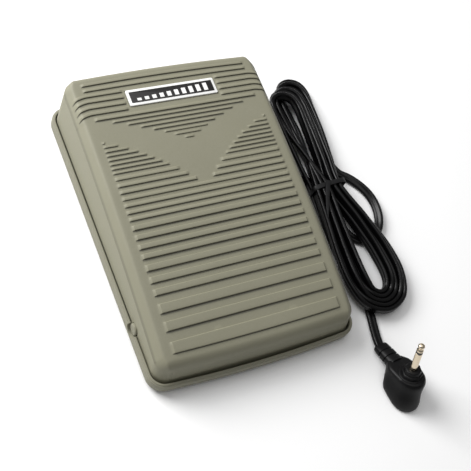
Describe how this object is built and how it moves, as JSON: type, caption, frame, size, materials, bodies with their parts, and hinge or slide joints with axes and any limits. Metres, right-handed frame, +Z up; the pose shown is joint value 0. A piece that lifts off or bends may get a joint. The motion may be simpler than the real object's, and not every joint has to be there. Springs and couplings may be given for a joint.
{
  "type": "sewing machine foot pedal",
  "caption": "Sewing machine foot pedal with a ribbed sprung treadle hinged in a shallow tray, and a hanked flat lead ending in a right-angle jack plug.",
  "frame": {"origin": "bottom centre of the pedal without its lead, on the surface it stands on", "axes": "+X to the user's right, +Y to the toe end, +Z up"},
  "size_m": [0.1621, 0.2033, 0.0358],
  "materials": {
    "treadle_plastic": "fine matt texture",
    "base_plastic": "fine matt texture",
    "rubber": "matt",
    "lead_pvc": "satin",
    "jack_metal": "polished",
    "insulator": "satin",
    "steel": "zinc plated",
    "nylon": "satin",
    "circuit_board": "solder mask",
    "component": "satin",
    "badge": "printed"
  },
  "bodies": {
    "base": {"rotary_control": "component", "base_tray": "base_plastic", "rubber_foot_heel_left": "rubber", "rubber_foot_heel_right": "rubber", "rubber_foot_toe_left": "rubber", "rubber_foot_toe_right": "rubber", "pivot_pin_left": "base_plastic", "pin_clip_left": "steel", "stop_bumper_left": "rubber", "return_spring_left": "steel", "pivot_pin_right": "base_plastic", "pin_clip_right": "steel", "stop_bumper_right": "rubber", "return_spring_right": "steel", "circuit_board": "circuit_board", "board_screw_1": "steel", "board_screw_2": "steel", "capacitor": "component", "resistor": "nylon", "strain_relief": "rubber", "inner_lead": "lead_pvc", "cord_clamp": "nylon", "clamp_screw_1": "steel", "clamp_screw_2": "steel", "cord_lead": "lead_pvc", "cord_tail": "lead_pvc", "cord_hank": "lead_pvc", "cord_tie": "rubber", "plug_body": "lead_pvc", "plug_collar": "lead_pvc", "plug_strain_relief": "lead_pvc", "plug_sleeve": "jack_metal", "plug_insulator": "insulator", "plug_tip": "jack_metal"},
    "treadle": {"treadle_cover": "treadle_plastic", "badge_plate": "badge", "rack_sector": "nylon", "rack_screw_1": "steel", "rack_screw_2": "steel"},
    "control_shaft": {"pinion_gear": "nylon", "pinion_shaft": "steel"}
  },
  "joints": [
    {"name": "treadle_hinge", "type": "hinge", "parent": "base", "child": "treadle", "pos_m": [0, -0.048, 0.0079], "axis": [-1, 0, 0], "range_deg": [0, 1.9], "stiffness_Nm_per_rad": 12, "springref_deg": -2.86, "deforming": ["return_spring_left", "return_spring_right"]},
    {"name": "control_turn", "type": "hinge", "parent": "base", "child": "control_shaft", "pos_m": [0.0175, 0.0398, 0.014], "axis": [1, 0, 0], "range_deg": [-5, 45]}
  ],
  "couplings": [
    {"joint": "control_turn", "follows": "treadle_hinge", "ratio": 21}
  ]
}
